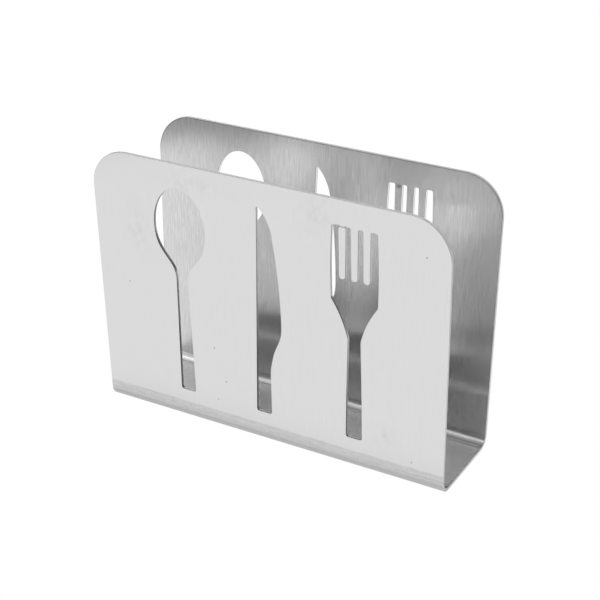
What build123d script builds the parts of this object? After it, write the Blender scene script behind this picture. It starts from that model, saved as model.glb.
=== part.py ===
"""Upright napkin dispenser: one sheet of stainless steel folded into a U, on four thin anti-slip pads.

Frame: millimetres, +Z up, X along the width, -Y towards the front plate.
The origin is the middle of the footprint, on the surface that the pads stand on.
"""
import math
import os
from collections import Counter

from build123d import *

# ---- driving dimensions ----------------------------------------------------------------------
WIDTH = 150.0            # along X
HEIGHT = 111.0           # top of the plates above the underside of the sheet
DEPTH = 41.0             # over the outsides of the two plates, level with the base
SHEET = 1.4              # sheet thickness
BEND_INSIDE_RADIUS = 3.8
LEAN = 1.5               # degrees that each plate leans outwards, left by the spring-back of the bends
TOP_CORNER_RADIUS = 15.6
DEBURR_RADIUS = 0.12     # along every cut edge
SMALLEST_SKIN_AREA = 500.0   # every skin of the plates, bends and base is larger; every cut wall is smaller
NEAR = 0.1               # how close to a line a corner lies to count as being on it

# ---- the three cut-outs share their top and bottom lines --------------------------------------
CUT_BOTTOM = 14.1        # above the underside of the sheet
CUT_TOP = 101.2
HANDLE_CORNER = 1.15     # corner radius at the lower end of each handle

# spoon, half widths measured from its own middle line
SPOON_X = -36.55
BOWL_HALF = 11.4
BOWL_WIDEST = 84.8
SPOON_NECK_HALF = 2.62
SPOON_NECK = 62.0
SPOON_HANDLE_HALF = 3.38

# knife: a straight spine on the left, the cutting edge on the right
KNIFE_SPINE_TOP = -2.35
KNIFE_SPINE_BOTTOM = -4.8
KNIFE_BELLY_X = 7.05
KNIFE_BELLY = 56.5
KNIFE_HANDLE_X = 1.92
KNIFE_HANDLE_TOP = 30.5
KNIFE_TIP_X = -1.5
KNIFE_TIP_ROUND = 0.3
KNIFE_EDGE_MIDDLE = (6.15, 72.5)      # on the long shallow arc of the cutting edge
KNIFE_SHOULDER = (3.85, 90.6)         # where that arc turns in towards the tip

# fork, half widths measured from its own middle line
FORK_X = 37.75
FORK_TOP_HALF = 9.1
FORK_BULGE_HALF = 9.68
FORK_BULGE = 84.0
FORK_SHOULDER_HALF = 9.5
FORK_SHOULDER = 72.0
FORK_NECK_HALF = 2.6
FORK_NECK = 56.4
FORK_HANDLE_HALF = 3.42
FORK_SHOULDER_ROUND = 2.5
FORK_NECK_ROUND = 6.0
FORK_FLARE_MIDDLE = (5.82, 65.7)      # on the concave arc between neck and shoulder
FORK_HANDLE_MIDDLE = (3.2, 31.0)      # the handle's sides bow out slightly here
TONGUE_PITCH = 4.92
TONGUE_TAPER = 0.7       # degrees that each side leans from upright
TONGUE_TIP_RADIUS = 1.25
TONGUE_TIP = 80.4
SLOT_CORNER = 0.75

# ---- anti-slip pads -------------------------------------------------------------------------
PAD_RADIUS = 4.0
PAD_THICKNESS = 1.0
PAD_EDGE_ROUND = 0.3
PAD_X = 62.0
PAD_Y = 10.0


def folded_sheet():
    """The U of sheet with its rounded top corners, standing on Z = PAD_THICKNESS."""
    middle = SHEET / 2
    base_half = DEPTH / 2 - middle
    top_half = base_half + (HEIGHT - middle) * math.tan(math.radians(LEAN))
    path = FilletPolyline(
        (-top_half, HEIGHT),
        (-base_half, middle),
        (base_half, middle),
        (top_half, HEIGHT),
        radius=BEND_INSIDE_RADIUS + middle,
    )
    section = Plane.YZ * trace(path, line_width=SHEET)
    sheet = extrude(section, amount=WIDTH / 2, both=True)
    edges_at_top = sheet.edges().filter_by(lambda edge: edge.center().Z > HEIGHT - SHEET)
    sheet = fillet(edges_at_top.filter_by(lambda edge: edge.length < 2 * SHEET), TOP_CORNER_RADIUS)
    return Pos(0, 0, PAD_THICKNESS) * sheet


def mirrored_face(half_outline):
    """A face from the right-hand half of an outline that starts and ends on the middle line."""
    whole = Curve() + half_outline
    return make_face((whole + mirror(whole, about=Plane.YZ)).edges())


def round_lower_corners(face):
    """Round the two corners at the lower end of a handle."""
    return fillet(face.vertices().group_by(Axis.Y)[0], HANDLE_CORNER)


def spoon_opening():
    crown = EllipticalCenterArc((0, BOWL_WIDEST), BOWL_HALF, CUT_TOP - BOWL_WIDEST, arc_size=90)
    handle = Line((SPOON_NECK_HALF, SPOON_NECK), (SPOON_HANDLE_HALF, CUT_BOTTOM))
    flank = Spline(
        crown @ 0,
        (9.0, 75.4),
        (5.1, 70.3),
        handle @ 0,
        tangents=[(0, -1), handle % 0],
    )
    bottom = Line(handle @ 1, (0, CUT_BOTTOM))
    face = mirrored_face([crown, flank, handle, bottom])
    return Pos(SPOON_X, 0) * round_lower_corners(face)


def knife_opening():
    belly = ThreePointArc((KNIFE_BELLY_X, KNIFE_BELLY), KNIFE_EDGE_MIDDLE, KNIFE_SHOULDER)
    point = TangentArc(KNIFE_SHOULDER, (KNIFE_TIP_X, CUT_TOP), tangent=belly % 1)
    heel = Spline(
        belly @ 0,
        (6.95, 51.3),
        (6.25, 48.2),
        (3.75, 42.1),
        (2.35, 36.2),
        (KNIFE_HANDLE_X, KNIFE_HANDLE_TOP),
        tangents=[(belly % 0) * -1, (0, -1)],
    )
    back = Polyline(
        heel @ 1,
        (KNIFE_HANDLE_X, CUT_BOTTOM),
        (KNIFE_SPINE_BOTTOM, CUT_BOTTOM),
        (KNIFE_SPINE_TOP, CUT_TOP),
        point @ 1,
    )
    face = make_face((Curve() + [point, belly, heel, back]).edges())
    face = fillet(face.vertices().filter_by(lambda corner: corner.Y > CUT_TOP - NEAR), KNIFE_TIP_ROUND)
    return round_lower_corners(face)


def fork_tongue():
    """One tongue of metal left between two tines: it hangs from the top line and narrows to a round tip."""
    tip = CenterArc((0, TONGUE_TIP + TONGUE_TIP_RADIUS), TONGUE_TIP_RADIUS, -90, 90 - TONGUE_TAPER)
    side = PolarLine(tip @ 1, CUT_TOP + SHEET - TONGUE_TIP, direction=tip % 1)
    root = Line(side @ 1, (0, (side @ 1).Y))
    return mirrored_face([tip, side, root])


def fork_opening():
    shoulder = (FORK_SHOULDER_HALF, FORK_SHOULDER)
    neck = (FORK_NECK_HALF, FORK_NECK)
    handle_end = (FORK_HANDLE_HALF, CUT_BOTTOM)
    half_outline = [
        Line((0, CUT_TOP), (FORK_TOP_HALF, CUT_TOP)),
        ThreePointArc((FORK_TOP_HALF, CUT_TOP), (FORK_BULGE_HALF, FORK_BULGE), shoulder),
        ThreePointArc(shoulder, FORK_FLARE_MIDDLE, neck),
        ThreePointArc(neck, FORK_HANDLE_MIDDLE, handle_end),
        Line(handle_end, (0, CUT_BOTTOM)),
    ]
    face = round_lower_corners(mirrored_face(half_outline))
    for height, radius in ((FORK_SHOULDER, FORK_SHOULDER_ROUND), (FORK_NECK, FORK_NECK_ROUND)):
        face = fillet(face.vertices().filter_by(lambda corner: abs(corner.Y - height) < NEAR), radius)
    for place in (-1, 0, 1):
        face -= Pos(place * TONGUE_PITCH, 0) * fork_tongue()
    top_corners = face.vertices().filter_by(lambda corner: corner.Y > CUT_TOP - NEAR)
    return Pos(FORK_X, 0) * fillet(top_corners, SLOT_CORNER)


def cut_openings(sheet, openings):
    """Cut the openings square through both plates, the same way round on each when seen from the front."""
    cutter = extrude(openings, amount=4 * SHEET, both=True)
    for side in (-1, 1):
        plate = Location((0, side * DEPTH / 2, PAD_THICKNESS), (90 - side * LEAN, 0, 0))
        sheet -= plate * cutter
    return sheet


def round_cut_edges(sheet):
    """Round every edge where the cut outline meets one of the sheet's two skins."""
    skins = [face for face in sheet.faces() if face.area > SMALLEST_SKIN_AREA]
    uses = Counter(edge for face in skins for edge in face.edges())
    rims = ShapeList(edge for edge, count in uses.items() if count == 1)
    return fillet(rims, DEBURR_RADIUS)


def bent_sheet_body():
    openings = Sketch() + [spoon_opening(), knife_opening(), fork_opening()]
    return round_cut_edges(cut_openings(folded_sheet(), openings))


def anti_slip_pad():
    pad = extrude(Circle(PAD_RADIUS), amount=PAD_THICKNESS)
    return fillet(pad.edges().group_by(Axis.Z)[0], PAD_EDGE_ROUND)


def main():
    os.makedirs("parts", exist_ok=True)
    parts = {"bent_sheet_body": bent_sheet_body()}
    for row, y in (("front", -PAD_Y), ("rear", PAD_Y)):
        for end, x in (("left", -PAD_X), ("right", PAD_X)):
            parts[f"{row}_{end}_pad"] = Pos(x, y, 0) * anti_slip_pad()
    for node, shape in parts.items():
        export_step(shape, f"parts/{node}.step")


main()
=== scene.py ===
"""Looks for the napkin dispenser: brushed stainless sheet on soft milky pads, under plain studio light."""

import math

import bpy
import numpy as np
from mathutils import Matrix, Vector
from mathutils.geometry import delaunay_2d_cdt


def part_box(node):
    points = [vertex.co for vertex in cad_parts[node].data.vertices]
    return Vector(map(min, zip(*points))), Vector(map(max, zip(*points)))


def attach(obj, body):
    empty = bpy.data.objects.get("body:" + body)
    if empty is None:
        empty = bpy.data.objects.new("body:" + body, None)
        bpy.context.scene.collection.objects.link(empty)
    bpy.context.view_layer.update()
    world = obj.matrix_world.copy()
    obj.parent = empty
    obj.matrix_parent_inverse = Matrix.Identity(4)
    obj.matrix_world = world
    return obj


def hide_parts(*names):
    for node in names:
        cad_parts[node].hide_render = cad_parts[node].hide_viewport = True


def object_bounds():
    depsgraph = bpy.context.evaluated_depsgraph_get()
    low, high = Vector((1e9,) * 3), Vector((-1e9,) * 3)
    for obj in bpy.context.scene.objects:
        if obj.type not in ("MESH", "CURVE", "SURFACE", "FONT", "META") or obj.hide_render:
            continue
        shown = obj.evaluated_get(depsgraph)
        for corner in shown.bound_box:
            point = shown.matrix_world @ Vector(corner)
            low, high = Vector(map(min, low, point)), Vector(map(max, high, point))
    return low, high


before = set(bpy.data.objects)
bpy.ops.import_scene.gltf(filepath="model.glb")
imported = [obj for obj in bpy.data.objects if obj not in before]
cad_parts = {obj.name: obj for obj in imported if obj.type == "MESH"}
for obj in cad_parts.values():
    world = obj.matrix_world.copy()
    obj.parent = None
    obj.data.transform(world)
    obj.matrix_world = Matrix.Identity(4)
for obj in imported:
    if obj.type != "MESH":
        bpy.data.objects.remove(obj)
cad_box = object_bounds()
scene = bpy.context.scene

MM = 0.001

# ---- the sheet, in millimetres ----------------------------------------------------------------
SHEET = 1.4
INSIDE_RADIUS = 3.8
CORNER_RADIUS = 15.6
EDGE_ROUND = 0.12            # along every cut edge
ROUND_STEPS = 3
WALL_STEPS = 4
CUT_STEP = 0.28              # longest step along a cut-out's edge
RIM_STEP = 2.0               # longest step along the sheet's own straight edges
TURN_STEP = math.radians(8)  # largest turn in one step round a curve
BEND_STEPS = 18
GRID = 5.0                   # spacing of the points inside the skins
CLEARANCE = 1.2              # nearest that a grid point comes to a cut edge
SHORTEST_EDGE = 0.06         # round a cut-out
STRIATION_PITCH = 0.95       # ridges that the laser leaves across the cut walls
STRIATION_DEPTH = 0.03

# ---- finish; lengths in millimetres on the blank ------------------------------------------------
STEEL_TONE = 0.76
INSIDE_TONE = 0.735          # the inner skins are a little darker
STEEL_ROUGHNESS = 0.20
GRAIN_DEPTH = 0.000014       # metres
RIM_TONE = 0.8
RIM_METAL = 0.2
RIM_ROUGHNESS = 0.5
WALL_TONE = 0.82
WALL_ROUGHNESS = 0.34
ARRIS_TONE = 0.72
ARRIS_ROUGHNESS = 0.24
PAD_TONE = 0.55
PAD_ROUGHNESS = 0.42
BEND_RISE = 5.07             # height at which a plate's outer skin leaves its bend
PLATE_START = 23.45          # the same place, as a distance from the middle of the base over the outer skin
RUB_WIDTH = 3.4              # the band that the press brake rubs beside each bend, with painted shade added over it
PAINTED_HIGHLIGHT_LINE = 20.45       # painted highlight line inside each bend; it and the painted shade below are distances from the middle of the base
PAINTED_HIGHLIGHT_SPREAD = 0.8
PAINTED_HIGHLIGHT = 0.25             # how much lighter the painted highlight makes it
PAINTED_SHADE_START = (13.2, 14.2)
PAINTED_SHADE_END = (17.0, 18.2)
PAINTED_SHADE = 0.16                  # how much darker the painted shade at the bottom of each bend makes it
TOP_RIM_LINE_WIDTH = (0.5, 0.2)      # the dark line on the inner skin comes up between these distances from the sheet's edge,
TOP_RIM_LINE_REACH = (24, 14)        # and between these distances below a plate's top edge
TOP_RIM_LINE_DARKNESS = 0.42                  # how much darker
HALF_BLANK_WIDTH = 75.0
HALF_BLANK_LENGTH = 129.45

# ---- marks on the skins, each a place (x, height above the sheet's underside) and a size ----------
SMUDGES = (((-56, 81), (5, 10)), ((22, 103), (6, 9)), ((51, 19.5), (5, 4.5)), ((-30, 104), (14, 4)))
SPECKS = ((-23.3, 37), (-61.5, 57), (-18.5, 23), (-22.5, 14), (62, 11), (65.7, 96.5))
SPECK_SIZE = (0.22, 0.26)
SCAR_LEFT = ((31.35, 101.0), (0.5, 0.45))      # heat marks at the root of the fork's first tongue
SCAR_RIGHT = ((34.4, 100.9), (0.45, 0.45))
SCAR_LINE = ((32.9, 100.9), (1.7, 0.26))
SCAR_BEHIND = ((32.8, 100.3), (1.35, 0.7))
FRONT = -1                   # which plate a mark is on
BACK = 1

# ---- camera: it looks down at the front plate from the right ----------------------------------
CAMERA_AZIMUTH = 28.969
CAMERA_ELEVATION = 27.996
CAMERA_ROLL = 0.216
CAMERA_DISTANCE = 0.554033
CAMERA_ASIDE = 0.008951
CAMERA_ABOVE = -0.009666
CAMERA_AIM = 0.051
CAMERA_LENS = 85.641
LENS_SHIFT = (-0.02845, 0.05761)

# ---- light ------------------------------------------------------------------------------------
FLOOR_HALF_SIZE = 6.0
FLOOR_LEVEL = 1.0            # what the camera sees
FLOOR_FRONT = 0.94           # what the steel sees in front of it
FLOOR_BACK = 1.18            # what the steel sees behind it
FLOOR_MIDDLE = 0.03          # front runs into back over this distance each side of the middle
FLOOR_SHADE = 0.3            # how much darker the floor in front is right beside the object
SHADE_REACH = 0.0055
POOL_START = 0.32            # the pool of light on the floor fades out between these distances
POOL_END = 0.375
POOL_OUTSIDE = 0.38          # to this part of its level
BOX_SIDE = 25.0              # degrees that the broad soft light stands to the left of straight in front
BOX_SPREAD = (-0.3, 0.9)     # cosines of the angle to it between which it comes up
BOX_LEVEL = 0.86
BOX_TOP = (42.0, 50.0)       # degrees of elevation between which it fades into the ceiling
CEILING_LEVEL = 0.44         # the ceiling, as a part of the broad light
STRIP_SIDE = 65.0            # the long strip light stands further round to the left
STRIP_SPREAD = (-0.9, 0.3)
STRIP_LEVEL = 1.1
STRIP_BOTTOM = (35.5, 38.5)
STRIP_DIMS = (43.0, 48.0)    # between these elevations it falls to a part of its level
STRIP_DIMMED = 0.45
STRIP_TOP = (56.0, 60.0)
TUBE_LEVEL = 1.9             # the brightest line of it
TUBE_ELEVATION = 53.3
TUBE_SPREAD = 2.4
ROOM_LEVEL = 0.02
MATT_LEVEL = 0.95            # the even light that matt surfaces see
MATT_FLOOR = 0.1             # the floor's share of it
BOUNCES = 24                 # between the two facing plates


def flat_skin():
    """The front plate's outer skin in the CAD node: its outward normal, how far out it lies, its triangles,
    and the points of the whole node."""
    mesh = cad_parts["bent_sheet_body"].data
    points = np.array([v.co for v in mesh.vertices]) / MM
    corners = np.array([p.vertices for p in mesh.polygons])
    a, b, c = (points[corners[:, k]] for k in range(3))
    cross = np.cross(b - a, c - a)
    size = np.linalg.norm(cross, axis=1)
    normals = cross / np.maximum(size, 1e-12)[:, None]
    towards_front = (normals[:, 1] < -0.99) & (normals[:, 2] < 0)
    normal = normals[np.argmax(np.where(towards_front, size, 0))]
    level = np.median((a @ normal)[towards_front & (size > 1)])
    flat = np.all(np.abs(points[corners] @ normal - level) < 1e-3, axis=1) & (normals @ normal > 0.999)
    return normal, level, corners[flat], points


def merged(points, triangles):
    """Joins points that lie at the same place, so that a boundary can be followed across them."""
    keys = np.round(points, 3)
    unique, back = np.unique(keys, axis=0, return_inverse=True)
    first = np.zeros(len(unique), int)
    first[back.ravel()[::-1]] = np.arange(len(points))[::-1]
    return first[back.ravel()][triangles]


def boundary_loops(triangles):
    """The closed loops of point numbers round the edge of a set of triangles."""
    edges = {(int(t[i]), int(t[(i + 1) % 3])) for t in triangles for i in range(3)}
    following = {start: end for start, end in sorted(edges) if (end, start) not in edges}
    loops = []
    while following:
        start = min(following)
        place = following.pop(start)
        loop = [start]
        while place != start:
            loop.append(place)
            place = following.pop(place)
        loops.append(loop)
    return loops


def stepped(points, step):
    """A closed outline with its points spread by length on straights and by turn on curves."""
    points = np.array(points)
    following = np.roll(points, -1, axis=0)
    length = np.linalg.norm(following - points, axis=1)
    points = points[length > 1e-4]
    following = np.roll(points, -1, axis=0)
    length = np.linalg.norm(following - points, axis=1)
    heading = np.unwrap(np.arctan2(*(following - points).T[::-1]))
    out = [points[0]]
    last_heading = heading[0]
    gone = length[0]
    for i in range(len(points)):
        turned = abs(heading[i] - last_heading) > TURN_STEP
        if i and (turned or gone + length[i] > step) and gone > SHORTEST_EDGE:
            out.append(points[i])
            last_heading = heading[i]
            gone = 0.0
        extra = int(length[i] / step)
        for k in range(1, extra + 1):
            share = k / (extra + 1)
            out.append(points[i] * (1 - share) + following[i] * share)
            gone = 0.0
        gone += length[i] / (extra + 1) if i else 0.0
    return np.array(out)


class Fold:
    """Maps the flat blank to the folded sheet. x runs along the width, u is the length developed from the
    middle of the base over the outer skin, and d is the depth below that skin."""

    def __init__(self, normal, level):
        self.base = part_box("bent_sheet_body")[0].z / MM
        self.lean = math.atan2(-normal[2], -normal[1])
        self.radius = INSIDE_RADIUS + SHEET
        self.turn = math.pi / 2 - self.lean
        self.half_depth = -(level - normal[2] * self.base) / normal[1]
        self.tangent = self.radius * math.tan(self.turn / 2)
        self.flat = self.half_depth - self.tangent
        self.plate_start = self.flat + self.radius * self.turn

    def along_plate(self, points):
        """How far up the front plate's outer skin each point lies, as u from the middle of the base."""
        up = points[:, 2] - self.base
        v = (-points[:, 1] - self.half_depth) * math.sin(self.lean) + up * math.cos(self.lean)
        return v - self.tangent + self.plate_start

    def place(self, x, u, d):
        """Points, outward normals and the direction of growing u, each as an array of 3-D rows."""
        side = np.where(u < 0, -1.0, 1.0)
        a = np.abs(u)
        angle = np.clip((a - self.flat) / self.radius, 0, self.turn)
        beyond = np.maximum(a - self.plate_start, 0)
        inner = np.minimum(a, self.flat)
        y = inner + (self.radius - d) * np.sin(angle) + beyond * np.cos(angle)
        z = self.base + self.radius - (self.radius - d) * np.cos(angle) + beyond * np.sin(angle)
        zero = np.zeros_like(a)
        points = np.stack([x, side * y, z], 1)
        normals = np.stack([zero, side * np.sin(angle), -np.cos(angle)], 1)
        along = np.stack([zero, np.cos(angle), side * np.sin(angle)], 1)
        return points, normals, along


def rim_outline(fold, half_width, half_length):
    """The edge of the flat blank's skin: a rounded rectangle with extra points where it is folded."""
    radius = CORNER_RADIUS - EDGE_ROUND
    steps = max(2, int((math.pi / 2) / TURN_STEP) * 2)
    side_end = half_length - radius
    bends = np.linspace(fold.flat, fold.plate_start, BEND_STEPS + 1)
    plate = np.linspace(fold.plate_start, side_end, int((side_end - fold.plate_start) / RIM_STEP) + 1)[1:-1]
    base = np.linspace(0, fold.flat, int(fold.flat / RIM_STEP) + 1)[:-1]
    upper = np.concatenate([base, bends, plate])
    stations = np.concatenate([-upper[:0:-1], upper])
    width_end = half_width - radius
    across = np.linspace(-width_end, width_end, int(2 * width_end / RIM_STEP) + 1)[1:-1]
    out = [(half_width, u) for u in stations]
    turns = np.linspace(0, math.pi / 2, steps + 1)
    out += [(width_end + radius * math.cos(t), side_end + radius * math.sin(t)) for t in turns]
    out += [(x, half_length) for x in across[::-1]]
    out += [(-width_end - radius * math.sin(t), side_end + radius * math.cos(t)) for t in turns]
    out += [(-half_width, u) for u in stations[::-1]]
    out += [(-width_end - radius * math.cos(t), -side_end - radius * math.sin(t)) for t in turns]
    out += [(x, -half_length) for x in across]
    out += [(width_end + radius * math.sin(t), -side_end - radius * math.cos(t)) for t in turns]
    return np.array(out)


def signed_area(loop):
    following = np.roll(loop, -1, axis=0)
    return 0.5 * np.sum(loop[:, 0] * following[:, 1] - following[:, 0] * loop[:, 1])


def inside(points, loop):
    """Whether each point lies inside a closed outline."""
    result = np.zeros(len(points), bool)
    low, high = loop.min(0), loop.max(0)
    near = np.nonzero(np.all((points > low) & (points < high), axis=1))[0]
    if not len(near):
        return result
    x, y = points[near, 0][:, None], points[near, 1][:, None]
    ax, ay = loop.T
    bx, by = np.roll(loop, -1, axis=0).T
    spans = (ay > y) != (by > y)
    with np.errstate(divide="ignore", invalid="ignore"):
        crossing = ax + (y - ay) * (bx - ax) / (by - ay)
    result[near] = np.sum(spans & (x < crossing), axis=1) % 2 == 1
    return result


def nearest(points, others):
    """The distance from each point to the nearest of the others."""
    return np.array([np.sqrt(np.min(np.sum((others - p) ** 2, axis=1))) for p in points])


def fill_skin(fold, rim, holes):
    """Points and triangles of the flat skin between the rim and the holes. Loop points come first."""
    loops = [rim] + holes
    edges = []
    total = 0
    for loop in loops:
        edges += [(total + i, total + (i + 1) % len(loop)) for i in range(len(loop))]
        total += len(loop)
    edge_points = np.concatenate(loops)
    half_width = rim[:, 0].max()
    half_length = rim[:, 1].max()
    columns = np.arange(-half_width // GRID * GRID + GRID, half_width - CLEARANCE, GRID)
    bends = np.linspace(fold.flat, fold.plate_start, BEND_STEPS + 1)
    extra = []
    number_of = {(round(x, 4), round(u, 4)): i for i, (x, u) in enumerate(rim)}
    count = total
    for side in (-1, 1):
        for u in side * bends:
            row = [number_of[(round(-half_width, 4), round(u, 4))]]
            for x in columns:
                extra.append((x, u))
                row.append(count)
                count += 1
            row.append(number_of[(round(half_width, 4), round(u, 4))])
            edges += list(zip(row[:-1], row[1:]))
    rows = np.arange(fold.plate_start + GRID / 2, half_length - CLEARANCE, GRID)
    flat_rows = np.arange(-fold.flat // GRID * GRID + GRID, fold.flat - 1, GRID)
    grid = np.array([(x, u) for u in np.concatenate([-rows, flat_rows, rows]) for x in columns])
    keep = inside(grid, rim)
    for hole in holes:
        keep &= ~inside(grid, hole)
    grid = grid[keep]
    grid = grid[nearest(grid, edge_points) > CLEARANCE]
    points = np.concatenate([edge_points, np.array(extra), grid])
    made = delaunay_2d_cdt([Vector(p) for p in points], edges, [], 0, 1e-6)
    made_points, _, triangles, sources = made[:4]
    if len(made_points) != len(points):
        raise RuntimeError(f"the skin has {len(made_points)} points, not {len(points)}")
    source = np.array([s[0] for s in sources])
    triangles = source[np.array(triangles)]
    middles = points[triangles].mean(1)
    keep = inside(middles, rim)
    for hole in holes:
        keep &= ~inside(middles, hole)
    triangles = triangles[keep]
    a, b, c = (points[triangles[:, k]] for k in range(3))
    turned = (b - a)[:, 0] * (c - a)[:, 1] - (b - a)[:, 1] * (c - a)[:, 0] < 0
    triangles[turned] = triangles[turned][:, ::-1]
    return points, triangles


def into_metal(loop):
    """Unit vectors from a loop into the metal, which lies on its left, and along the loop."""
    tangent = np.roll(loop, -1, axis=0) - np.roll(loop, 1, axis=0)
    tangent /= np.linalg.norm(tangent, axis=1)[:, None]
    return np.stack([-tangent[:, 1], tangent[:, 0]], 1), tangent


def edge_profile():
    """Steps from the outer skin to the inner one, each with its distance into the metal, its depth, the turn
    of its normal and its share of the ridges."""
    first = []
    for turn in np.linspace(0, math.pi / 2, ROUND_STEPS + 1):
        offset = EDGE_ROUND * (1 - math.sin(turn))
        depth = EDGE_ROUND * (1 - math.cos(turn))
        first.append((offset, depth, turn, math.sin(turn) ** 4))
    depths = np.linspace(EDGE_ROUND, SHEET - EDGE_ROUND, WALL_STEPS + 1)[1:-1]
    middle = [(0.0, d, math.pi / 2, 1.0) for d in depths]
    last = [(offset, SHEET - depth, math.pi - turn, ridge) for offset, depth, turn, ridge in first[::-1]]
    return first + middle + last


def ridges(length, depth, laser_cut):
    """How far the cut wall steps back into the metal: ridges that drift as the beam goes down."""
    if not laser_cut:
        return np.zeros_like(length)
    wander = 0.25 * depth + 0.3 * np.sin(length * 0.61) + 0.2 * np.sin(length * 1.37 + 2)
    phase = (length + wander) / STRIATION_PITCH
    size = 0.65 + 0.35 * np.sin(length * 0.23 + 1.7 * depth)
    return STRIATION_DEPTH * size * (0.5 - 0.5 * np.cos(2 * math.pi * phase))


def make_sheet(materials):
    """The folded sheet: two skins over the same flat triangles, joined by rounded, laser-cut edges."""
    normal, level, triangles, cad_points = flat_skin()
    fold = Fold(normal, level)
    outlines = []
    for loop in boundary_loops(merged(cad_points, triangles)):
        points = cad_points[loop]
        outlines.append(np.stack([points[:, 0], fold.along_plate(points)], 1))
    outlines.sort(key=lambda loop: np.ptp(loop[:, 0]))
    holes_on_front, plate = outlines[:-1], outlines[-1]
    half_width = plate[:, 0].max()
    half_length = plate[:, 1].max()
    rim = rim_outline(fold, half_width, half_length)
    holes = []
    for loop in holes_on_front:
        loop = stepped(loop if signed_area(loop) < 0 else loop[::-1], CUT_STEP)
        holes.append(loop)
        holes.append((loop * (1, -1))[::-1])
    flat_points, flat_triangles = fill_skin(fold, rim, holes)

    skin_count = len(flat_points)
    outer, outer_normals, _ = fold.place(*flat_points.T, np.zeros(skin_count))
    inner, inner_normals, _ = fold.place(*flat_points.T, np.full(skin_count, SHEET))
    points = [outer, inner]
    normals = [outer_normals, -inner_normals]
    blank = [np.column_stack([flat_points, np.full(skin_count, side)]) for side in (1.0, -1.0)]
    faces = [tuple(t[::-1]) for t in flat_triangles.tolist()]
    faces += [tuple(v + skin_count for v in t) for t in flat_triangles.tolist()]
    skin_faces = len(faces)
    count = 2 * skin_count
    start = 0
    slots = []
    profile = edge_profile()
    for order, loop in enumerate([rim] + holes):
        size = len(loop)
        metal, tangent = into_metal(loop)
        length = np.concatenate([[0], np.cumsum(np.linalg.norm(np.diff(loop, axis=0), axis=1))])
        rings = [np.arange(start, start + size)]
        for offset, depth, turn, share in profile[1:-1]:
            step_back = ridges(length, depth, order > 0) * share
            slope = np.gradient(step_back, length)
            shift = (offset - EDGE_ROUND + step_back)[:, None] * metal
            x, u = (loop + shift).T
            place, outward, along = fold.place(x, u, np.full(size, depth))
            metal_3d = metal[:, :1] * (1, 0, 0) + metal[:, 1:] * along
            tangent_3d = tangent[:, :1] * (1, 0, 0) + tangent[:, 1:] * along
            facing = math.cos(turn) * outward + math.sin(turn) * (slope[:, None] * tangent_3d - metal_3d)
            points.append(place)
            blank.append(np.column_stack([x, u, np.full(size, 1 - 2 * depth / SHEET)]))
            normals.append(facing / np.linalg.norm(facing, axis=1)[:, None])
            rings.append(np.arange(count, count + size))
            count += size
        rings.append(np.arange(start + skin_count, start + skin_count + size))
        for step, (above, below) in enumerate(zip(rings[:-1], rings[1:])):
            after, under = np.roll(above, -1), np.roll(below, -1)
            faces += list(zip(above.tolist(), after.tolist(), under.tolist(), below.tolist()))
            on_wall = ROUND_STEPS <= step < len(rings) - 1 - ROUND_STEPS
            slots += [(3 if order else 2) if on_wall else 1] * size
        start += size

    mesh = bpy.data.meshes.new("bent_sheet")
    mesh.from_pydata((np.concatenate(points) * MM).tolist(), [], faces)
    for material in materials:
        mesh.materials.append(material)
    mesh.polygons.foreach_set("use_smooth", [True] * len(faces))
    mesh.polygons.foreach_set("material_index", [0] * skin_faces + slots)
    attribute = mesh.attributes.new("blank", "FLOAT_VECTOR", "POINT")
    attribute.data.foreach_set("vector", np.concatenate(blank).ravel())
    mesh.update()
    mesh.normals_split_custom_set_from_vertices(np.concatenate(normals).tolist())
    sheet = bpy.data.objects.new("bent_sheet", mesh)
    scene.collection.objects.link(sheet)
    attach(sheet, "root")
    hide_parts("bent_sheet_body")
    return sheet


def make_camera():
    azimuth, elevation, roll = (math.radians(a) for a in (CAMERA_AZIMUTH, CAMERA_ELEVATION, CAMERA_ROLL))
    back = Vector((math.sin(azimuth) * math.cos(elevation), -math.cos(azimuth) * math.cos(elevation),
                   math.sin(elevation)))
    right = back.cross(Vector((0, 0, -1))).normalized()
    up = back.cross(right)
    right, up = right * math.cos(roll) + up * math.sin(roll), up * math.cos(roll) - right * math.sin(roll)
    place = right * CAMERA_ASIDE + up * CAMERA_ABOVE + Vector((0, 0, CAMERA_AIM)) + back * CAMERA_DISTANCE
    data = bpy.data.cameras.new("camera")
    data.lens = CAMERA_LENS
    data.sensor_width = 36
    data.shift_x, data.shift_y = LENS_SHIFT
    camera = bpy.data.objects.new("camera", data)
    scene.collection.objects.link(camera)
    axes = Matrix((right, up, back)).transposed().to_4x4()
    camera.matrix_world = Matrix.Translation(place) @ axes
    scene.camera = camera


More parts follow.
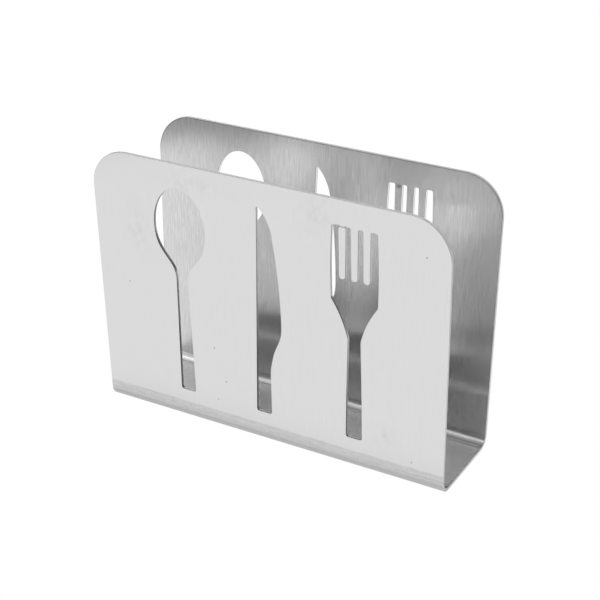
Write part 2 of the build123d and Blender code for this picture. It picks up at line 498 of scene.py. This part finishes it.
class Nodes:
    """A short way to write a node tree."""

    def __init__(self, tree):
        self.tree = tree
        tree.nodes.clear()

    def add(self, kind, inputs=None, **settings):
        node = self.tree.nodes.new("ShaderNode" + kind)
        for name, value in settings.items():
            setattr(node, name, value)
        for name, value in (inputs or {}).items():
            socket = node.inputs[name]
            if isinstance(value, bpy.types.NodeSocket):
                self.tree.links.new(value, socket)
            else:
                socket.default_value = value
        return node

    def math(self, operation, *values):
        return self.add("Math", dict(enumerate(values)), operation=operation).outputs[0]

    def product(self, *values):
        result = values[0]
        for value in values[1:]:
            result = self.math("MULTIPLY", result, value)
        return result

    def total(self, *values):
        result = values[0]
        for value in values[1:]:
            result = self.math("ADD", result, value)
        return result

    def ease(self, value, start, end, low, high):
        """low below start, high above end, and a smooth step between them."""
        inputs = {"Value": value, "From Min": start, "From Max": end, "To Min": low, "To Max": high}
        return self.add("MapRange", inputs, interpolation_type="SMOOTHSTEP").outputs[0]

    def bell(self, value, middle, spread):
        """1 at the middle, falling to nothing a few spreads away."""
        away = self.math("DIVIDE", self.math("SUBTRACT", value, middle), spread)
        return self.math("POWER", math.e, self.product(away, away, -1.0))

    def noise(self, place, scale, detail=2.0, roughness=0.5, offset=(0, 0, 0)):
        """Noise from about -1 to 1 round 0, with its own scale on each axis."""
        moved = self.add("Mapping", {"Vector": place, "Scale": scale, "Location": offset}).outputs[0]
        inputs = {"Vector": moved, "Scale": 1.0, "Detail": detail, "Roughness": roughness}
        value = self.add("TexNoise", inputs).outputs[0]
        return self.math("MULTIPLY_ADD", value, 2.0, -1.0)


def new_material(name):
    material = bpy.data.materials.new(name)
    material.use_nodes = True
    return material, Nodes(material.node_tree)


def make_floor():
    """A pale floor, even to the camera. The steel sees a pool of light on it, brighter behind the object
    than in front, and darker close in front of the object, where the object shades it."""
    mesh = bpy.data.meshes.new("floor")
    r = FLOOR_HALF_SIZE
    mesh.from_pydata([(-r, -r, 0), (r, -r, 0), (r, r, 0), (-r, r, 0)], [], [(0, 1, 2, 3)])
    floor = bpy.data.objects.new("floor", mesh)
    scene.collection.objects.link(floor)
    material, n = new_material("pale_floor")
    place = n.add("NewGeometry").outputs["Position"]
    x, y, _ = n.add("SeparateXYZ", {"Vector": place}).outputs
    half_width, half_depth, _ = cad_box[1]
    beside_x = n.math("MAXIMUM", n.math("SUBTRACT", n.math("ABSOLUTE", x), half_width), 0.0)
    beside_y = n.math("MAXIMUM", n.math("SUBTRACT", n.math("ABSOLUTE", y), half_depth), 0.0)
    away = n.math("SQRT", n.total(n.product(beside_x, beside_x), n.product(beside_y, beside_y)))
    in_front = n.ease(y, -FLOOR_MIDDLE, FLOOR_MIDDLE, 1.0, 0.0)
    shaded = n.product(n.math("POWER", math.e, n.math("DIVIDE", away, -SHADE_REACH)), in_front, FLOOR_SHADE)
    level = n.ease(in_front, 0.0, 1.0, FLOOR_BACK, FLOOR_FRONT)
    from_middle = n.math("SQRT", n.total(n.product(x, x), n.product(y, y)))
    pool = n.ease(from_middle, POOL_START, POOL_END, 1.0, POOL_OUTSIDE)
    seen_by_steel = n.product(level, n.math("SUBTRACT", 1.0, shaded), pool)
    camera_ray = n.add("LightPath").outputs["Is Camera Ray"]
    matt_ray = n.add("LightPath").outputs["Is Diffuse Ray"]
    strength = n.add("Mix", {0: matt_ray, 2: seen_by_steel, 3: MATT_FLOOR}).outputs[0]
    strength = n.add("Mix", {0: camera_ray, 2: strength, 3: FLOOR_LEVEL}).outputs[0]
    glow = n.add("Emission", {"Color": (1, 1, 1, 1), "Strength": strength})
    n.add("OutputMaterial", {"Surface": glow.outputs[0]})
    mesh.materials.append(material)


def make_world():
    """A broad soft light in front and to the left, a long strip light further left with a bright line along
    it, a dim ceiling and a dark room. Matt surfaces see one even level instead."""
    world = bpy.data.worlds.new("studio")
    scene.world = world
    world.use_nodes = True
    n = Nodes(world.node_tree)
    direction = n.add("TexCoord").outputs["Generated"]
    x, y, z = n.add("SeparateXYZ", {"Vector": direction}).outputs
    elevation = n.math("DEGREES", n.math("ARCSINE", z))
    level_length = n.math("SQRT", n.math("MAXIMUM", n.total(n.product(x, x), n.product(y, y)), 1e-6))

    def towards(degrees):
        """The cosine, seen from above, of the angle to a light this far left of straight in front."""
        side = math.radians(degrees)
        along = n.total(n.product(x, -math.sin(side)), n.product(y, -math.cos(side)))
        return n.math("DIVIDE", along, level_length)

    box_height = n.ease(elevation, *BOX_TOP, 1.0, CEILING_LEVEL)
    box = n.product(n.ease(towards(BOX_SIDE), *BOX_SPREAD, 0.0, 1.0), box_height, BOX_LEVEL)
    strip_starts = n.ease(elevation, *STRIP_BOTTOM, 0.0, 1.0)
    strip_ends = n.ease(elevation, *STRIP_TOP, 1.0, 0.0)
    strip_fade = n.ease(elevation, *STRIP_DIMS, 1.0, STRIP_DIMMED)
    tube = n.product(n.bell(elevation, TUBE_ELEVATION, TUBE_SPREAD), TUBE_LEVEL)
    strip_and_tube = n.total(n.product(strip_starts, strip_ends, strip_fade, STRIP_LEVEL), tube)
    strip = n.product(n.ease(towards(STRIP_SIDE), *STRIP_SPREAD, 0.0, 1.0), strip_and_tube)
    seen_by_steel = n.total(box, strip, ROOM_LEVEL)
    matt_ray = n.add("LightPath").outputs["Is Diffuse Ray"]
    strength = n.add("Mix", {0: matt_ray, 2: seen_by_steel, 3: MATT_LEVEL}).outputs[0]
    back = n.add("Background", {"Strength": strength})
    n.add("OutputWorld", {"Surface": back.outputs[0]})


def grey(n, tone):
    return n.add("CombineColor", {"Red": tone, "Green": tone, "Blue": tone}).outputs[0]


def height_to_blank(height, plate):
    """Turns a height on a plate into u on the blank."""
    return plate * (height - BEND_RISE + PLATE_START)


def spot(n, x, u, place, size, plate):
    """1 at a place on a plate, fading out over its size along x and u."""
    away_x = n.math("DIVIDE", n.math("SUBTRACT", x, place[0]), size[0])
    away_u = n.math("DIVIDE", n.math("SUBTRACT", u, height_to_blank(place[1], plate)), size[1])
    squares = n.total(n.product(away_x, away_x), n.product(away_u, away_u))
    return n.math("POWER", math.e, n.product(squares, -1.0))


def press_brake_band_and_painted_shade(n, blank, outside, away, streak):
    """Where the press brake rubs the skin beside each bend, and how much the band and its lines darken it.
    The darkening is partly rub marks and partly painted shade, for the shaded floor close to the object that
    the skin there reflects.
    """
    broken = n.noise(blank, (0.22, 0.4, 8.0), 3.0, 0.7)
    past_edge = n.math("SUBTRACT", away, n.total(RUB_WIDTH, n.product(broken, 0.7)))
    rubbed_and_shaded = n.product(n.ease(past_edge, -0.7, 0.6, 1.0, 0.0), n.ease(away, -6, -3, 0.0, 1.0))
    edge_line = n.product(n.bell(away, RUB_WIDTH - 0.15, 0.28), n.ease(broken, -0.3, 0.5, 0.2, 1.0))
    inner_line = n.product(n.bell(away, 0.8, 0.3), n.ease(streak, -0.2, 0.5, 0.1, 0.8))
    lines = n.total(edge_line, inner_line)
    mottle = n.noise(blank, (0.35, 1.1, 6.0), 4.0, 0.75)
    rub_and_painted_shade = n.total(0.085, n.product(streak, 0.09), n.product(mottle, 0.13))
    # rub marks and painted shade together
    band_and_painted_shade = n.product(outside, n.total(n.product(rubbed_and_shaded, rub_and_painted_shade), n.product(lines, 0.08)))
    return rubbed_and_shaded, band_and_painted_shade


def handling_marks(n, blank, x, u, outside):
    """Faint smudges and a few specks on the outside of the front plate."""
    patchy = n.ease(n.noise(blank, (0.3, 0.22, 4.0), 4.0, 0.7), -0.3, 0.4, 0.0, 1.2)
    smudges = 0.0
    for place, size in SMUDGES:
        smudges = n.total(smudges, n.product(spot(n, x, u, place, size, FRONT), patchy))
    specks = 0.0
    for place in SPECKS:
        specks = n.total(specks, spot(n, x, u, place, SPECK_SIZE, FRONT))
    return n.product(outside, n.total(n.product(smudges, 0.05), n.product(specks, 0.6)))


def heat_marks(n, blank, x, u, outside, inside):
    """Where the beam closed the fork's outline, at the root of its first tongue, on each plate."""
    ragged = n.noise(blank, (2.4, 2.4, 2.0), 3.0, 0.7)
    line = n.product(spot(n, x, u, *SCAR_LINE, FRONT), 0.9)
    front_scar = n.total(spot(n, x, u, *SCAR_LEFT, FRONT), spot(n, x, u, *SCAR_RIGHT, FRONT), line)
    back_scar = n.product(spot(n, x, u, *SCAR_BEHIND, BACK), 0.9)
    scar = n.total(n.product(front_scar, outside), n.product(back_scar, inside))
    return n.product(scar, n.ease(ragged, -0.5, 0.3, 0.4, 1.0), 0.55)


def dark_line_round_top_rim(n, blank, x, from_centre, inside):
    """A dark line on the inner skin just inside the sheet's own edge, round the top of each plate."""
    past_side = n.math("SUBTRACT", n.math("ABSOLUTE", x), HALF_BLANK_WIDTH - CORNER_RADIUS)
    past_side = n.math("MAXIMUM", past_side, 0.0)
    past_top = n.math("SUBTRACT", from_centre, HALF_BLANK_LENGTH - CORNER_RADIUS)
    past_top = n.math("MAXIMUM", past_top, 0.0)
    from_corner = n.math("SQRT", n.total(n.product(past_side, past_side), n.product(past_top, past_top)))
    broken = n.ease(n.noise(blank, (1.3, 1.3, 2.0), 2.0, 0.6), -0.4, 0.3, 0.55, 1.0)
    rim_starts, rim_full = (CORNER_RADIUS - width for width in TOP_RIM_LINE_WIDTH)
    near_rim = n.ease(from_corner, rim_starts, rim_full, 0.0, 1.0)
    upper_starts, upper_full = (HALF_BLANK_LENGTH - reach for reach in TOP_RIM_LINE_REACH)
    upper = n.ease(from_centre, upper_starts, upper_full, 0.0, 1.0)
    return n.product(inside, near_rim, upper, broken, TOP_RIM_LINE_DARKNESS)


def brushed_steel():
    """The skins: brushed along the plates' height, so that they blur what they reflect across the width."""
    material, n = new_material("brushed_steel")
    blank = n.add("Attribute", attribute_name="blank").outputs["Vector"]
    x, u, side = n.add("SeparateXYZ", {"Vector": blank}).outputs
    across = n.add("CombineXYZ", {"X": 1.0}).outputs[0]
    outside = n.math("GREATER_THAN", side, 0.0)
    inside = n.math("SUBTRACT", 1.0, outside)
    from_centre = n.math("ABSOLUTE", u)

    fine = n.noise(blank, (3.0, 0.016, 7.0), 3.0, 0.65)
    broad = n.noise(blank, (0.95, 0.010, 9.0), 2.0, 0.5)
    cloud = n.noise(blank, (0.035, 0.030, 5.0), 3.0, 0.6)
    thread = n.noise(blank, (2.2, 0.12, 9.0), 2.0, 0.8)
    streak = n.noise(blank, (0.05, 2.2, 3.0), 3.0, 0.6)

    # the press-brake band: rub marks, with painted shade in its darkening
    rubbed_and_shaded, band_and_painted_shade = press_brake_band_and_painted_shade(n, blank, outside, n.math("SUBTRACT", from_centre, PLATE_START), streak)
    front_marks = handling_marks(n, blank, x, u, outside)
    scar = heat_marks(n, blank, x, u, outside, inside)
    # a darker line on the inner skins round the top of each plate
    top_rim_line = dark_line_round_top_rim(n, blank, x, from_centre, inside)

    # inside each bend: painted shade over a stretch at the bottom and a painted highlight line above it,
    # standing in for what the concave bend reflects
    painted_highlight = n.product(inside, n.bell(from_centre, PAINTED_HIGHLIGHT_LINE, PAINTED_HIGHLIGHT_SPREAD), PAINTED_HIGHLIGHT)
    painted_shade_from = n.ease(from_centre, *PAINTED_SHADE_START, 0.0, 1.0)
    painted_shade_to = n.ease(from_centre, *PAINTED_SHADE_END, 1.0, 0.0)
    painted_shade = n.product(inside, painted_shade_from, painted_shade_to, PAINTED_SHADE)

    base = n.ease(side, -1.0, 1.0, INSIDE_TONE, STEEL_TONE)
    threads = n.product(thread, n.ease(side, -1.0, 1.0, 0.22, 0.03))
    broad_grain = n.product(broad, n.ease(side, -1.0, 1.0, 0.015, 0.008))
    tone = n.total(base, threads, broad_grain, n.product(cloud, 0.010), painted_highlight)
    tone = n.math("SUBTRACT", tone, n.total(band_and_painted_shade, front_marks, painted_shade, top_rim_line, scar))
    rough = n.total(STEEL_ROUGHNESS, n.product(broad, 0.01), n.product(cloud, 0.012), n.product(band_and_painted_shade, 0.6))
    grain = n.total(n.product(fine, 0.35), n.product(broad, 1.6))
    relief = n.total(grain, n.product(streak, rubbed_and_shaded, outside, 0.5))
    bump = n.add("Bump", {"Height": relief, "Strength": 1.0, "Distance": GRAIN_DEPTH}).outputs[0]
    surface = n.add("BsdfPrincipled", {"Base Color": grey(n, tone), "Metallic": 1.0, "Roughness": rough,
                                       "Anisotropic": 1.0, "Tangent": across, "Normal": bump})
    n.add("OutputMaterial", {"Surface": surface.outputs[0]})
    return material


def linished_rim():
    """The sheet's own edge all round: rubbed down to a matt, even grey."""
    material, n = new_material("linished_rim")
    blank = n.add("Attribute", attribute_name="blank").outputs["Vector"]
    fleck = n.noise(blank, (1.2, 1.2, 2.5), 3.0, 0.6)
    tone = n.total(RIM_TONE, n.product(fleck, 0.12))
    rough = n.total(RIM_ROUGHNESS, n.product(fleck, 0.06))
    surface = n.add("BsdfPrincipled", {"Base Color": grey(n, tone), "Metallic": RIM_METAL,
                                       "Roughness": rough})
    n.add("OutputMaterial", {"Surface": surface.outputs[0]})
    return material


def cut_wall():
    """The walls of the cut-outs as the laser leaves them: ridged, finely broken up and scorched towards the
    outer skin."""
    material, n = new_material("cut_wall")
    blank = n.add("Attribute", attribute_name="blank").outputs["Vector"]
    x, u, side = n.add("SeparateXYZ", {"Vector": blank}).outputs
    fleck = n.noise(blank, (1.6, 1.6, 2.5), 3.0, 0.6)
    wander = n.product(n.noise(blank, (0.3, 0.3, 0.3), 1.0, 0.5), 2.0)
    phase = n.math("MULTIPLY_ADD", n.math("ADD", x, u), 2 * math.pi / STRIATION_PITCH, wander)
    dots = n.math("MULTIPLY_ADD", n.math("SINE", phase), 0.16, 0.5)
    scorched = n.product(n.ease(side, 0.0, 0.5, 0.0, 1.0), dots)
    tone = n.math("SUBTRACT", n.total(WALL_TONE, n.product(fleck, 0.12)), scorched)
    rough = n.total(WALL_ROUGHNESS, n.product(fleck, 0.08))
    surface = n.add("BsdfPrincipled", {"Base Color": grey(n, tone), "Metallic": 1.0, "Roughness": rough})
    n.add("OutputMaterial", {"Surface": surface.outputs[0]})
    return material


def deburred_arris():
    """The narrow rounding between a wall and a skin: rubbed smooth outside, darker inside."""
    material, n = new_material("deburred_arris")
    blank = n.add("Attribute", attribute_name="blank").outputs["Vector"]
    wear = n.noise(blank, (0.8, 0.8, 1.0), 3.0, 0.6)
    inner = n.math("LESS_THAN", n.add("SeparateXYZ", {"Vector": blank}).outputs[2], 0.0)
    tone = n.total(ARRIS_TONE, n.product(inner, -0.3), n.product(wear, 0.16))
    rough = n.total(ARRIS_ROUGHNESS, n.product(wear, 0.08))
    surface = n.add("BsdfPrincipled", {"Base Color": grey(n, tone), "Metallic": 1.0, "Roughness": rough})
    n.add("OutputMaterial", {"Surface": surface.outputs[0]})
    return material


def silicone():
    """Soft pads: pale, slightly milky silicone with a fine moulded texture."""
    material, n = new_material("silicone")
    place = n.add("TexCoord").outputs["Object"]
    grain = n.noise(place, (2500, 2500, 2500), 2.0, 0.5)
    cloud = n.noise(place, (300, 300, 300), 2.0, 0.5)
    tone = n.total(PAD_TONE, n.product(cloud, 0.03))
    colour = n.add("CombineColor", {"Red": tone, "Green": tone, "Blue": n.product(tone, 0.98)}).outputs[0]
    rough = n.total(PAD_ROUGHNESS, n.product(grain, 0.06))
    bump = n.add("Bump", {"Height": grain, "Strength": 0.3, "Distance": 0.00003}).outputs[0]
    surface = n.add("BsdfPrincipled", {"Base Color": colour, "Roughness": rough, "Normal": bump,
                                       "Subsurface Weight": 0.15, "Subsurface Scale": 0.001})
    n.add("OutputMaterial", {"Surface": surface.outputs[0]})
    return material


make_camera()
make_floor()
make_world()
make_sheet((brushed_steel(), deburred_arris(), linished_rim(), cut_wall()))
pad_material = silicone()
for name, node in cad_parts.items():
    if name.endswith("_pad"):
        node.data.materials.clear()
        node.data.materials.append(pad_material)
scene.view_settings.view_transform = "Standard"
scene.cycles.max_bounces = BOUNCES
scene.cycles.glossy_bounces = BOUNCES
